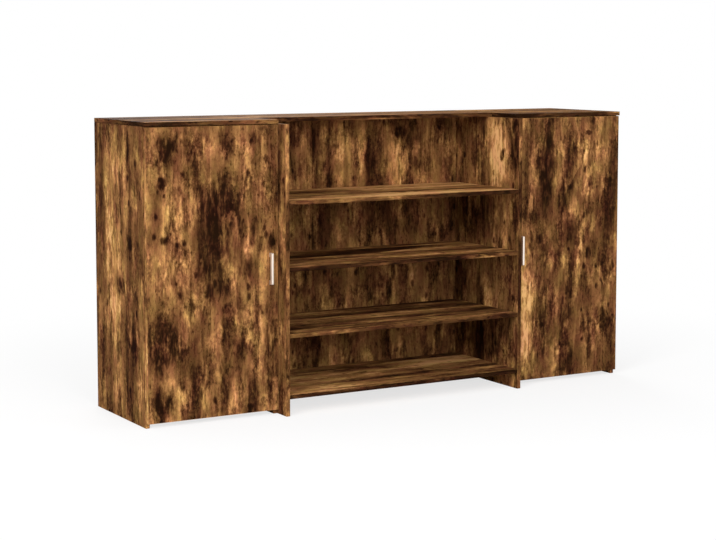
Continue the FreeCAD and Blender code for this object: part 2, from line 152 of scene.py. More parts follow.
def smoked_oak(board, stains=(), knots=(), face_tone=0.0, edge_tone=0.0):
    """Print one board from its own place on the sheet.

    A patch is its place across and along the near face, its half sizes and its strength; most patches are
    print stains, and some are painted shade or painted highlight. A knot is a place and a radius. The far
    face is one sheet step further across, and the edge bands are two, with the grain along them and a tone of
    their own. On tops and shelves the faces are lifted as a painted sheen, and the front edge bands are
    darkened as painted shade.
    """
    material, tree = new_material("smoked_oak_melamine_" + board)
    low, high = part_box(board)
    size = [side / mm for side in high - low]
    thickness_axis = size.index(min(size))
    along_axis = 0 if thickness_axis == 2 else 2
    across_axis = 3 - thickness_axis - along_axis
    stretch = lying_stretch if thickness_axis == 2 else 1.0
    sheet_start = board_step * len(bpy.data.materials)

    place = add_node(tree, "TexCoord", {})
    from_corner = add_node(tree, "Mapping", {"Vector": place.outputs["Object"],
                                             "Scale": (1 / mm, 1 / mm, 1 / mm),
                                             "Location": [-edge / mm for edge in low]})
    axes = add_node(tree, "SeparateXYZ", (from_corner,)).outputs
    between_ends = {}
    for axis in (thickness_axis, along_axis):
        half = size[axis] / 2
        between_ends[axis] = add_node(tree, "Math", (axes[axis], half, half - face_skin), operation="COMPARE")
    on_band = between_ends[thickness_axis]
    on_far_face = add_node(tree, "Math", (axes[thickness_axis], size[thickness_axis] / 2),
                           operation="GREATER_THAN")
    face = add_node(tree, "Math", (on_far_face, sheet_step, axes[across_axis]), operation="MULTIPLY_ADD")
    band = add_node(tree, "Math", (axes[thickness_axis], 2 * sheet_step))
    across = add_node(tree, "Mix", {"Factor": on_band, "A": face, "B": band})
    along = add_node(tree, "Mix", {"Factor": between_ends[along_axis], "A": axes[across_axis],
                                   "B": axes[along_axis]})
    flat = add_node(tree, "CombineXYZ", (across, along))

    sheets = {"flat": flat}
    for name, width, length, reach_across, reach_along in drifts:
        cells = add_node(tree, "VectorMath", (flat, (1 / width, 1 / length, 0.0), (sheet_start, 0.0, 0.0)),
                         operation="MULTIPLY_ADD")
        noise = add_node(tree, "TexNoise", {"Vector": cells, "Scale": 1.0, "Detail": drift_detail,
                                            "Roughness": drift_roughness}, noise_dimensions="2D")
        reach = Vector((reach_across, reach_along, 0.0))
        drift = add_node(tree, "VectorMath", (noise.outputs["Color"], 2 * reach, -reach),
                         operation="MULTIPLY_ADD")
        sheets[name] = add_node(tree, "VectorMath", (flat, drift))

    lots = {}
    distances = {}
    for name, sheet, width, length in scatters:
        start = (sheet_start, -sheet_start, 0.0)
        cells = add_node(tree, "VectorMath", (sheets[sheet], (1 / width, 1 / length, 0.0), start),
                         operation="MULTIPLY_ADD")
        scatter = add_node(tree, "TexVoronoi", {"Vector": cells, "Scale": 1.0}, voronoi_dimensions="2D")
        lots[name] = add_node(tree, "SeparateColor", (scatter.outputs["Color"],))
        distances[name] = scatter.outputs["Distance"]

    drawn = {}
    for name, sheet, width, length, step_across, step_along, detail, roughness in patterns:
        drawn_length = length * stretch if name in layer_reaches else length
        start = (step_across * sheet_start, step_along * sheet_start, 0.0)
        cells = add_node(tree, "VectorMath", (sheets[sheet], (1 / width, 1 / drawn_length, 0.0), start),
                         operation="MULTIPLY_ADD")
        drawn[name] = add_node(tree, "TexNoise", {"Vector": cells, "Scale": 1.0, "Detail": detail,
                                                  "Roughness": roughness}, noise_dimensions="2D")

    # Tops and shelves get their face tone as a painted sheen, and their edge tone on the bands as painted
    # shade.
    middle_tone = plank_tone + face_tone
    reach = plank_reach * stretch
    plank = add_node(tree, "MapRange", (lots["plank"], 0.0, 1.0, middle_tone - reach, middle_tone + reach))
    strip = add_node(tree, "MapRange", (lots["strip"], 0.0, 1.0, -strip_reach, strip_reach))
    tone = add_node(tree, "Math", (plank, strip))
    tone = add_node(tree, "Math", (on_band, edge_tone - face_tone, tone), operation="MULTIPLY_ADD")
    busy = add_node(tree, "MapRange", (drawn["busy"], *busy_spread, *busy_share))
    for name, reach in layer_reaches.items():
        change = add_node(tree, "MapRange", (drawn[name], *layer_spread, -reach, reach),
                          interpolation_type="SMOOTHSTEP")
        tone = add_node(tree, "Math", (change, busy, tone), operation="MULTIPLY_ADD")

    burn = add_node(tree, "MapRange", (drawn["streaks"], *burn_spread, *burn_share),
                    interpolation_type="SMOOTHSTEP")
    marks = []
    for stain in stains:
        edge = dark_edge if stain[-1] < darkest_faint else faint_edge
        marks.append((burn, *edge, *stain))
    for across, along, radius in knots:
        haze_and_core = ((burn, haze_edge, knot_haze), (1.0, core_edge, knot_core))
        for share, edge, (wide, long, strength) in haze_and_core:
            marks.append((share, *edge, across, along, wide * radius, long * radius, strength))
    for share, sheet, solid, faded, across, along, half_across, half_along, strength in marks:
        centre = (-across / half_across, -along / half_along, 0.0)
        reach = add_node(tree, "VectorMath", (sheets[sheet], (1 / half_across, 1 / half_along, 0.0), centre),
                         operation="MULTIPLY_ADD")
        distance = add_node(tree, "VectorMath", (reach,), operation="LENGTH")
        mark = add_node(tree, "MapRange", (distance.outputs["Value"], solid, faded, strength, 0.0),
                        interpolation_type="SMOOTHSTEP")
        tone = add_node(tree, "Math", (mark, share, tone), operation="MULTIPLY_ADD")

    radius = add_node(tree, "MapRange", (lots["knot"], knotless_share, 1.0, 0.0, small_knot_radius))
    inside = add_node(tree, "Math", (radius, distances["knot"]), operation="SUBTRACT")
    knot = add_node(tree, "MapRange", (inside, *small_knot_edge, 0.0, small_knot_tone))
    tone = add_node(tree, "Math", (knot, tone))
    crack_tone = add_node(tree, "MapRange", (drawn["smoke"], *crack_smoke, *crack_tones))
    for name in ("long_cracks", "short_cracks"):
        crack = add_node(tree, "MapRange", (drawn[name], *crack_spread))
        tone = add_node(tree, "Math", (crack, crack_tone, tone), operation="MULTIPLY_ADD")

    depth = add_node(tree, "MapRange", (tone, *tone_range), interpolation_type="SMOOTHSTEP")
    ramp = add_node(tree, "ValToRGB", (depth,))
    points = ramp.color_ramp.elements
    while len(points) < len(oak_tones):
        points.new(0.5)
    for point, (position, hex_text) in zip(points, oak_tones):
        point.position = position
        point.color = linear(hex_text)
    hue = add_node(tree, "MapRange", (drawn["hue"], *hue_spread, *hue_range))
    colour = add_node(tree, "HueSaturation", {"Hue": hue, "Color": ramp})
    rough = add_node(tree, "MapRange", (drawn["fibres"], *pore_spread, *paper_roughness))
    relief = add_node(tree, "Bump", {"Height": drawn["fibres"], "Strength": pore_strength,
                                     "Distance": pore_depth * mm})
    skin = add_node(tree, "BsdfPrincipled", {"Base Color": colour, "Roughness": rough, "Normal": relief,
                                             "Specular IOR Level": paper_gloss})
    add_node(tree, "OutputMaterial", {"Surface": skin})
    return material


def finish_node(node, material):
    """Give a CAD node its material."""
    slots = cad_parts[node].data.materials
    slots.clear()
    slots.append(material)


def finish_board(board, **look):
    """Face and edge a board with its own print."""
    finish_node(board, smoked_oak(board, **look))


left_side_stains = ((245, 560, 75, 430, 0.17), (275, 640, 40, 110, 0.10), (300, 400, 30, 130, 0.10),
                    (50, 120, 40, 105, 0.20), (375, 500, 45, 450, -0.16), (130, 950, 16, 55, -0.32),
                    (215, 945, 12, 40, -0.28), (115, 615, 20, 26, -0.40), (215, 462, 25, 36, -0.42),
                    (237, 240, 14, 60, -0.42), (90, 270, 36, 20, -0.28), (380, 960, 60, 70, -0.20),
                    (70, 830, 50, 70, -0.20), (225, 460, 60, 60, -0.16), (370, 320, 50, 120, 0.18))
for side, side_stains in (("left_", left_side_stains), ("right_", ())):
    finish_board(side + "outer_side", stains=side_stains)
    # The tops' faces are made lighter as a painted sheen from above, and their front edge bands darker as
    # painted shade.
    finish_board(side + "top", face_tone=0.12, edge_tone=-0.34)
    for board in ("inner_side", "bottom", "back"):
        finish_board(side + board)

# Cabinet shelves: two loose boards in each cabinet, cut from the same printed board and edged like it. They
# lie on pins, so they can be lifted out.
for side in ("left_", "right_"):
    for board in ("lower_shelf", "upper_shelf"):
        finish_board(side + board)

# Open middle unit: two sides, a panel on the customer side, four shelves and the counter above them, all of
# the same board. The panel and the right side have the amber planks and smoke that catch the eye, and also
# dark bands of painted shade in the bays. The tops of the shelves and counter are lighter as a painted sheen,
# with painted shade on their front edges and in patches further back.
# Most of the panel's patches are print; its widest, a dark band across the panel's full width behind a bay,
# is painted shade.
panel_stains = ((480, 610, 700, 130, -0.10), (200, 870, 200, 140, -0.12), (925, 850, 40, 145, -0.24),
                (325, 895, 15, 75, -0.28), (405, 780, 20, 50, -0.28), (575, 830, 30, 100, -0.28),
                (280, 810, 40, 55, -0.20), (710, 940, 30, 25, -0.35), (790, 850, 60, 120, -0.20),
                (705, 815, 65, 100, 0.25), (520, 860, 35, 115, 0.10), (250, 900, 25, 85, 0.12))
# The right side's two widest dark patches, across its full depth at two of the bays below the work shelf, are
# painted shade; its amber plank and knot are print.
right_side_stains = ((130, 880, 60, 140, 0.60), (110, 875, 16, 25, -0.75), (20, 915, 40, 115, -0.35),
                     (235, 905, 40, 120, -0.20), (150, 640, 250, 100, -0.18), (150, 170, 250, 120, -0.26))
left_edge_stains = ((2 * sheet_step, 920, 40, 200, 0.32),)
# On the tops of the base and work shelves the patches are partly print and partly painted light: lighter near
# the front as painted highlight, darker further back as painted shade.
base_top_stains = ((sheet_step + 330, 470, 60, 190, -0.28), (sheet_step + 130, 400, 36, 260, -0.20),
                   (sheet_step + 260, 790, 60, 170, 0.22), (sheet_step + 50, 170, 36, 170, 0.16))
work_top_stains = ((sheet_step + 270, 240, 80, 260, -0.20), (sheet_step + 150, 700, 24, 240, -0.20),
                   (sheet_step + 70, 600, 34, 380, 0.16))
finish_board("middle_left_side", stains=left_edge_stains)
finish_board("middle_right_side", stains=right_side_stains, edge_tone=-0.15)
finish_board("front_panel", stains=panel_stains)
# The counter and shelves: their top faces lighter as a painted sheen, and their front edge bands darker as
# painted shade.
finish_board("counter_top", face_tone=0.12, edge_tone=-0.22)
finish_board("base_shelf", stains=base_top_stains, face_tone=0.20, edge_tone=-0.28)
finish_board("lower_bay_shelf", face_tone=0.04, edge_tone=-0.28)
finish_board("upper_bay_shelf", face_tone=0.02, edge_tone=-0.16)
finish_board("work_shelf", stains=work_top_stains, face_tone=0.26, edge_tone=-0.38)

# Cam locks: round zinc castings in pockets of the boards, with a thin rim over the pocket and a cross slot
# for the driver. As each is turned, it draws in the head of a steel bolt, screwed into the next board.
board_thickness = 15.0
cam_radius = 6.9
cam_depth = 12.0
cam_rim_radius = 8.4
cam_rim = 0.4
cam_rim_rounding = 0.25
cam_slot_half = 0.8
cam_slot_reach = 4.4
cam_slot_depth = 2.6
cam_setback = 24.0
fitting_inset = 60.0
# A direction counts as square to a plane above this cosine, places in mm count as the same within this touch,
# and a cut joins corners within this weld.
square_on = 0.9
touch = 0.02
weld = 0.001
slot_taper = 0.75
smooth_angle = math.radians(35)


def start_round(middle, radius, length, sides, turn=(0, 0, 0)):
    """Add a cylinder alone, at its place and size in mm."""
    bpy.ops.object.select_all(action="DESELECT")
    bpy.ops.mesh.primitive_cylinder_add(vertices=sides, radius=radius * mm, depth=length * mm,
                                        location=Vector(middle) * mm, rotation=turn)
    bpy.ops.object.transform_apply(location=True, rotation=True, scale=True)
    return bpy.context.object


def pick(piece, kind, wanted):
    """In edit mode, select the faces, edges or corners that are wanted by their middle and direction."""
    bpy.context.view_layer.objects.active = piece
    bpy.ops.object.mode_set(mode="EDIT")
    bpy.ops.mesh.select_mode(type=kind)
    bpy.ops.mesh.select_all(action="DESELECT")
    mesh = bmesh.from_edit_mesh(piece.data)
    mesh.normal_update()
    for part in {"VERT": mesh.verts, "EDGE": mesh.edges, "FACE": mesh.faces}[kind]:
        corners = [part] if kind == "VERT" else list(part.verts)
        middle = sum((corner.co for corner in corners), Vector()) / len(corners)
        direction = (corners[1].co - corners[0].co).normalized() if kind == "EDGE" else part.normal
        if wanted(middle / mm, direction):
            part.select_set(True)
    bmesh.update_edit_mesh(piece.data)


def draw_out(x, y, z):
    """Extrude what is selected by a move in mm."""
    bpy.ops.mesh.extrude_region_move(TRANSFORM_OT_translate={"value": (x * mm, y * mm, z * mm)})


def round_edges(piece, width, segments, wanted):
    """Round the edges that are wanted by a width in mm."""
    pick(piece, "EDGE", wanted)
    bpy.ops.mesh.bevel(offset=width * mm, segments=segments, affect="EDGES")
    bpy.ops.object.mode_set(mode="OBJECT")


def press_cross(piece, top, arm_half, arm_reach, depth):
    """Press a tapered cross slot into the flat top of a piece that stands along Z. Sizes are in mm."""
    def on_top(middle, direction):
        return direction.z > square_on and middle.z > top - touch

    def in_cross(middle, direction):
        near, far = sorted((abs(middle.x), abs(middle.y)))
        return on_top(middle, direction) and near < arm_half and far < arm_reach

    for axis in (Vector((1, 0, 0)), Vector((0, 1, 0))):
        for offset in (-arm_reach, -arm_half, arm_half, arm_reach):
            pick(piece, "FACE", on_top)
            bpy.ops.mesh.bisect(plane_co=axis * offset * mm, plane_no=axis, threshold=weld * mm)
    pick(piece, "FACE", in_cross)
    draw_out(0, 0, -depth)
    bpy.ops.transform.resize(value=(slot_taper, slot_taper, 1.0))
    bpy.ops.object.mode_set(mode="OBJECT")


def facing(seat, outward):
    """The turn and move that seat a piece, made along Z, at a place in mm so that it faces outward."""
    turn = Vector(outward).to_track_quat("Z", "Y").to_matrix().to_4x4()
    return Matrix.Translation(Vector(seat) * mm) @ turn


def set_out(master, name, places):
    """Copy a piece to each of its places, and join the copies into one piece."""
    bpy.ops.object.select_all(action="DESELECT")
    for place in places:
        copy = master.copy()
        copy.data = master.data.copy()
        bpy.context.scene.collection.objects.link(copy)
        copy.matrix_world = place
        copy.select_set(True)
        bpy.context.view_layer.objects.active = copy
    bpy.ops.object.join()
    bpy.ops.object.transform_apply(location=True, rotation=True, scale=True)
    joined = bpy.context.object
    joined.name = name
    return joined


def mirrored(left_piece):
    """The same piece for the right-hand cabinet."""
    bpy.ops.object.select_all(action="DESELECT")
    copy = left_piece.copy()
    copy.data = left_piece.data.copy()
    bpy.context.scene.collection.objects.link(copy)
    copy.name = left_piece.name.replace("left_", "right_", 1)
    copy.scale.x = -1
    copy.select_set(True)
    bpy.context.view_layer.objects.active = copy
    bpy.ops.object.transform_apply(location=True, rotation=True, scale=True)
    pick(copy, "FACE", lambda middle, direction: True)
    bpy.ops.mesh.normals_make_consistent(inside=False)
    bpy.ops.object.mode_set(mode="OBJECT")
    return copy


def fit_piece(piece, node, body, material):
    """Fit a finished piece in place of a CAD node."""
    bpy.ops.object.select_all(action="DESELECT")
    piece.select_set(True)
    bpy.context.view_layer.objects.active = piece
    bpy.ops.object.shade_smooth_by_angle(angle=smooth_angle)
    piece.data.materials.clear()
    piece.data.materials.append(material)
    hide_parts(node)
    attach(piece, body)


def fit_pair(left_piece, node, bodies, material):
    """Fit a left-hand piece and its mirror image in place of their CAD nodes."""
    right_piece = mirrored(left_piece)
    fit_piece(left_piece, "left_" + node, bodies[0], material)
    fit_piece(right_piece, "right_" + node, bodies[1], material)


# Plated or cast metal: a thin bright skin, a little cloudy in tone and gloss where the bath or mould left it.
cloud_detail = 3.0
cloud_spread = (0.3, 0.7)
cloud_depth = 0.1
cloud_strength = 0.05


def clouded_metal(name, dull, bright, smoothest, roughest, cloud):
    """A metal between two tones and two roughnesses, with clouds of a size in mm."""
    material, tree = new_material(name)
    place = add_node(tree, "TexCoord", {})
    clouds = add_node(tree, "TexNoise", {"Vector": place.outputs["Object"], "Scale": 1 / (cloud * mm),
                                         "Detail": cloud_detail})
    colour = add_node(tree, "Mix", {0: clouds, 6: linear(dull), 7: linear(bright)}, data_type="RGBA")
    gloss = add_node(tree, "MapRange", (clouds, *cloud_spread, roughest, smoothest))
    relief = add_node(tree, "Bump", {"Height": clouds, "Strength": cloud_strength,
                                     "Distance": cloud_depth * mm})
    skin = add_node(tree, "BsdfPrincipled", {"Base Color": colour.outputs[2], "Metallic": 1.0,
                                             "Roughness": gloss, "Normal": relief})
    add_node(tree, "OutputMaterial", {"Surface": skin})
    return material


zinc_casting = clouded_metal("cast_zinc", "#8B8D90", "#B4B6B8", smoothest=0.38, roughest=0.55, cloud=1.2)
plated_steel = clouded_metal("nickel_plated_pressed_steel", "#B3B1AC", "#D2D0CB", smoothest=0.20,
                             roughest=0.34, cloud=4.0)
cam_lock = start_round((0, 0, -cam_depth / 2), cam_radius, cam_depth, sides=32)
pick(cam_lock, "FACE", lambda middle, direction: direction.z > square_on)
draw_out(0, 0, 0)
bpy.ops.transform.resize(value=(cam_rim_radius / cam_radius, cam_rim_radius / cam_radius, 1.0))
draw_out(0, 0, cam_rim)
round_edges(cam_lock, cam_rim_rounding, 2, lambda middle, direction: middle.z > cam_rim - touch)
press_cross(cam_lock, cam_rim, cam_slot_half, cam_slot_reach, cam_slot_depth)

case = ("base", "base")
left_low, left_high = [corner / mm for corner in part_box("left_outer_side")]
cabinet_faces = ((left_high.x, 1), (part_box("left_inner_side")[0].x / mm, -1))
middle_faces = ((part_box("middle_left_side")[1].x / mm, 1), (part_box("middle_right_side")[0].x / mm, -1))
cabinet_rows = (left_low.y + fitting_inset, left_high.y - board_thickness - fitting_inset)
bottom_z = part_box("left_bottom")[0].z / mm
cabinet_cams = []
for face_x, inward in cabinet_faces:
    for y in cabinet_rows:
        cabinet_cams.append(facing((face_x, y, left_high.z - cam_setback), (inward, 0, 0)))
        cabinet_cams.append(facing((face_x + inward * cam_setback, y, bottom_z), (0, 0, -1)))
panel_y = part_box("front_panel")[0].y / mm
shelf_rows = (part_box("work_shelf")[0].y / mm + fitting_inset, panel_y - fitting_inset)
counter_rows = (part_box("counter_top")[0].y / mm + fitting_inset, panel_y - fitting_inset)
middle_cams = []
for face_x, inward in middle_faces:
    for y in shelf_rows:
        for shelf in ("base_shelf", "work_shelf"):
            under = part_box(shelf)[0].z / mm
            middle_cams.append(facing((face_x + inward * cam_setback, y, under), (0, 0, -1)))
    outer_x = face_x - inward * (board_thickness - cam_rim)
    for y in counter_rows:
        middle_cams.append(facing((outer_x, y, left_high.z - cam_setback), (-inward, 0, 0)))
fit_pair(set_out(cam_lock, "left_rimmed_cams", cabinet_cams), "cam_locks", case, zinc_casting)
fit_piece(set_out(cam_lock, "middle_rimmed_cams", middle_cams), "middle_cam_locks", "base",
          zinc_casting)
bpy.data.objects.remove(cam_lock)
for unit in ("left_", "right_", "middle_"):
    finish_node(unit + "cam_bolts", plated_steel)

# Dowels: beech pegs, glued into the ends of the back and the panel, where the boards hide them. Turned beech
# is pale and plain, with short flecks along the peg.
fleck_size = (6.0, 0.8, 0.8)
beech, tree = new_material("turned_beech")
place = add_node(tree, "TexCoord", {})
stretched = add_node(tree, "Mapping", {"Vector": place.outputs["Object"],
                                       "Scale": [1 / (fleck * mm) for fleck in fleck_size]})
flecks = add_node(tree, "TexNoise", {"Vector": stretched, "Scale": 1.0, "Detail": 2.0})
colour = add_node(tree, "Mix", {0: flecks, 6: linear("#B98F62"), 7: linear("#D9B78C")}, data_type="RGBA")
skin = add_node(tree, "BsdfPrincipled", {"Base Color": colour.outputs[2], "Roughness": 0.7})
add_node(tree, "OutputMaterial", {"Surface": skin})
for unit in ("left_", "right_", "middle_"):
    finish_node(unit + "dowels", beech)

# Joining screws: zinc-plated pan-head screws with a cross slot, driven from inside each cabinet through its
# inner side into the middle unit, four to a cabinet.
join_end_distance = 140.0
# A screw's rounding and slot as shares of its head's height and radius, and its tip as a share of its shank.
head_rounding = 0.55
slot_half_share = 0.13
slot_reach_share = 0.55
slot_depth_share = 0.6
tip_share = 0.3


def cross_screw(head_radius, head_height, shank_radius, length):
    """A pan-head screw along Z, with its head above the seat at the origin. Sizes are in mm."""
    screw = start_round((0, 0, head_height / 2), head_radius, head_height, sides=24)
    round_edges(screw, head_rounding * head_height, 3,
                lambda middle, direction: middle.z > head_height - touch)
    press_cross(screw, head_height, slot_half_share * head_radius, slot_reach_share * head_radius,
                slot_depth_share * head_height)
    pick(screw, "FACE", lambda middle, direction: direction.z < -square_on and middle.z < touch)
    bpy.ops.mesh.inset(thickness=(head_radius - shank_radius) * mm)
    draw_out(0, 0, shank_radius - length)
    draw_out(0, 0, -shank_radius)
    bpy.ops.transform.resize(value=(tip_share, tip_share, 1.0))
    bpy.ops.object.mode_set(mode="OBJECT")
    return screw


plated_screw = clouded_metal("zinc_plated_screw_steel", "#A8ACB0", "#CBD0D4", smoothest=0.25, roughest=0.42,
                             cloud=1.5)
joining_screw = cross_screw(head_radius=4.0, head_height=2.4, shank_radius=2.1, length=26.0)
join_x = cabinet_faces[1][0]
join_heights = (join_end_distance, left_high.z - join_end_distance)
join_seats = [facing((join_x, y, z), (-1, 0, 0)) for y in cabinet_rows for z in join_heights]
fit_pair(set_out(joining_screw, "left_cross_slot_joining_screws", join_seats), "joining_screws", case,
         plated_screw)
bpy.data.objects.remove(joining_screw)

# Shelf pins: nickel-plated spade pins that carry the loose shelves. Each is a peg, pressed into a hole in the
# side, and a flat paddle with rounded corners under the shelf.
pin_radius = 2.1
pin_depth = 8.6
pin_reach = 9.0
pin_paddle = 2.5
pin_corner = 3.0
pin_drop = 3.0
pin_inset = 45.0
quarter = math.radians(90)
sharp_angle = math.radians(40)


def start_block(middle, size, turn=(0, 0, 0)):
    """Add a box alone, at its place and size in mm."""
    bpy.ops.object.select_all(action="DESELECT")
    bpy.ops.mesh.primitive_cube_add(size=1.0, location=Vector(middle) * mm, rotation=turn,
                                    scale=[side * mm for side in size])
    bpy.ops.object.transform_apply(location=True, rotation=True, scale=True)
    return bpy.context.object


def combine(piece, tool, operation):
    """Join a piece to another or cut it by another, which is used up."""
    modifier = piece.modifiers.new("combine", "BOOLEAN")
    modifier.operation = operation
    modifier.object = tool
    modifier.solver = "EXACT"
    bpy.context.view_layer.objects.active = piece
    bpy.ops.object.modifier_apply(modifier=modifier.name)
    bpy.data.objects.remove(tool)


def ease_edges(piece, width, segments):
    """Round all sharp edges by a width in mm."""
    modifier = piece.modifiers.new("ease", "BEVEL")
    modifier.width = width * mm
    modifier.segments = segments
    modifier.limit_method = "ANGLE"
    modifier.angle_limit = sharp_angle
    bpy.context.view_layer.objects.active = piece
    bpy.ops.object.modifier_apply(modifier=modifier.name)


def pin_place(face_x, y, under, inward):
    """The place of a pin under a shelf, on a side's inner face and pointing inward."""
    turn = Matrix.Rotation(0 if inward > 0 else 2 * quarter, 4, "Z")
    return Matrix.Translation(Vector((face_x, y, under)) * mm) @ turn


pin = start_block((pin_reach / 2, 0, -pin_paddle / 2), (pin_reach, pin_reach, pin_paddle))
round_edges(pin, pin_corner, 5,
            lambda middle, direction: abs(direction.z) > square_on and middle.x > pin_reach - touch)
peg_length = pin_depth + pin_reach / 2
peg = start_round((peg_length / 2 - pin_depth, 0, -pin_drop), pin_radius, peg_length, sides=20,
                  turn=(0, quarter, 0))
combine(pin, peg, "UNION")
ease_edges(pin, width=0.3, segments=2)
cabinet_pins = []
for shelf in ("left_lower_shelf", "left_upper_shelf"):
    low, high = [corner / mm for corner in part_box(shelf)]
    for face_x, inward in cabinet_faces:
        for y in (low.y + pin_inset, high.y - pin_inset):
            cabinet_pins.append(pin_place(face_x, y, low.z, inward))
middle_pins = []
for shelf in ("lower_bay_shelf", "upper_bay_shelf"):
    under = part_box(shelf)[0].z / mm
    for face_x, inward in middle_faces:
        for y in shelf_rows:
            middle_pins.append(pin_place(face_x, y, under, inward))
fit_pair(set_out(pin, "left_spade_pins", cabinet_pins), "shelf_pins", case, plated_steel)
fit_piece(set_out(pin, "middle_spade_pins", middle_pins), "middle_shelf_pins", "base",
          plated_steel)
bpy.data.objects.remove(pin)

# Doors: one board each, hung over the case's front edges and bored from inside for the hinge cups. Their
# smoke clouds, amber planks and knots make most of the desk's face.
left_door_stains = ((270, 620, 95, 260, -0.25), (60, 270, 75, 110, -0.18), (290, 200, 60, 150, -0.20),
                    (78, 930, 36, 30, -0.30), (48, 892, 32, 30, -0.30), (60, 915, 60, 62, -0.22),
                    (58, 812, 18, 25, -0.60), (35, 790, 25, 110, -0.14), (268, 790, 36, 70, -0.18),
                    (275, 715, 66, 75, -0.18), (250, 650, 80, 55, -0.18), (205, 515, 45, 48, -0.22),
                    (255, 440, 65, 50, -0.22), (355, 390, 24, 32, -0.26), (65, 295, 50, 60, -0.18),
                    (42, 205, 50, 65, -0.30), (120, 235, 34, 22, -0.30), (50, 65, 62, 52, -0.30),
                    (78, 55, 26, 26, -0.22), (280, 80, 24, 70, -0.18), (465, 280, 30, 240, -0.26),
                    (455, 130, 40, 130, -0.18), (350, 225, 24, 45, -0.28), (470, 590, 24, 40, -0.28),
                    (380, 70, 50, 80, -0.26), (404, 645, 16, 46, -0.26), (380, 500, 36, 60, -0.28),
                    (290, 950, 40, 60, -0.18), (115, 700, 60, 170, 0.20), (100, 500, 75, 140, 0.20),
                    (150, 340, 36, 62, 0.28), (140, 75, 32, 75, 0.30), (210, 110, 32, 130, 0.18),
                    (205, 950, 40, 60, 0.18), (410, 780, 70, 90, 0.14), (376, 620, 9, 80, 0.20))
left_door_knots = ((28, 632, 9), (70, 618, 10), (112, 603, 8), (138, 606, 8), (136, 840, 8), (35, 700, 8),
                   (392, 945, 8), (478, 592, 9), (65, 770, 5))
right_door_stains = ((148, 800, 45, 180, -0.30), (150, 760, 30, 90, -0.16), (225, 690, 22, 60, -0.38),
                     (270, 560, 36, 60, -0.22), (250, 280, 42, 130, -0.30), (412, 230, 30, 32, -0.32),
                     (352, 470, 15, 28, -0.38), (455, 620, 45, 240, -0.14), (170, 210, 45, 110, -0.22),
                     (272, 45, 25, 55, -0.26), (345, 940, 22, 10, -0.40), (390, 440, 20, 90, -0.16),
                     (255, 880, 40, 120, -0.20), (58, 330, 60, 330, 0.26), (350, 820, 48, 150, 0.30),
                     (345, 725, 40, 28, 0.16), (280, 655, 30, 42, 0.16), (308, 480, 20, 125, 0.34),
                     (350, 590, 40, 60, 0.14), (150, 470, 40, 70, 0.16), (70, 350, 36, 90, 0.12),
                     (70, 115, 45, 150, 0.20), (450, 330, 22, 55, 0.14), (200, 95, 24, 70, 0.16))
doors = ("left_door", "right_door")
finish_board("left_door", stains=left_door_stains, knots=left_door_knots, edge_tone=0.25)
finish_board("right_door", stains=right_door_stains, edge_tone=0.25)

# Hinge plates: crosses of pressed, nickel-plated steel. Each is screwed to the outer side through its two
# ears, and the arm clips on its bar.
outer_face = left_high.x
hinge_heights = (117.0, 917.5)
plate_y = -143.0
plate_thickness = 2.0
plate_length = 46.0
plate_half = 6.2
plate_ear = 6.5
plate_spacing = 32.0


def upright_strap(centre, turn, radius, spacing, thickness):
    """A flat strap with round ends that stands along Z. Sizes are in mm."""
    strap = start_round(centre, radius, thickness, sides=30, turn=turn)
    for end in (-1, 1):
        pick(strap, "VERT", lambda middle, direction: end * middle.z > 0)
        bpy.ops.transform.translate(value=(0, 0, end * spacing / 2 * mm))
    bpy.ops.object.mode_set(mode="OBJECT")
    return strap


def at_hinges(master, name):
    """Copy a piece, made at the floor, to the height of each hinge."""
    joined = set_out(master, name, [Matrix.Translation((0, 0, height * mm)) for height in hinge_heights])
    bpy.data.objects.remove(master)
    return joined


plate_place = (outer_face + plate_thickness / 2, plate_y, 0)
plate = start_block(plate_place, (plate_thickness, plate_length, 2 * plate_half))
plate_ears = upright_strap(plate_place, (0, quarter, 0), plate_ear, plate_spacing, plate_thickness)
combine(plate, plate_ears, "UNION")
ease_edges(plate, width=0.3, segments=2)
fit_pair(at_hinges(plate, "left_cross_plates"), "hinge_plates", case, plated_steel)

# Hinge screws: short zinc-plated pan-head screws with a cross slot. They hold the plates to the outer side
# and the cups to the door, through the ears of both.
cup_x = -976.5
cup_screw_x = -970.5
cup_flange = 1.0
cup_screw_spacing = 48.0
door_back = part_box("left_door")[1].y / mm
hinge_screw = cross_screw(head_radius=3.4, head_height=1.4, shank_radius=1.6, length=11.0)
plate_seats = []
cup_seats = []
for height in hinge_heights:
    for end in (-1, 1):
        plate_seat = (outer_face + plate_thickness, plate_y, height + end * plate_spacing / 2)
        plate_seats.append(facing(plate_seat, (1, 0, 0)))
        cup_seat = (cup_screw_x, door_back + cup_flange, height + end * cup_screw_spacing / 2)
        cup_seats.append(facing(cup_seat, (0, 1, 0)))
fit_pair(set_out(hinge_screw, "left_plate_cross_screws", plate_seats), "plate_screws", case,
         plated_screw)
fit_pair(set_out(hinge_screw, "left_cup_cross_screws", cup_seats), "cup_screws", doors,
         plated_screw)
bpy.data.objects.remove(hinge_screw)

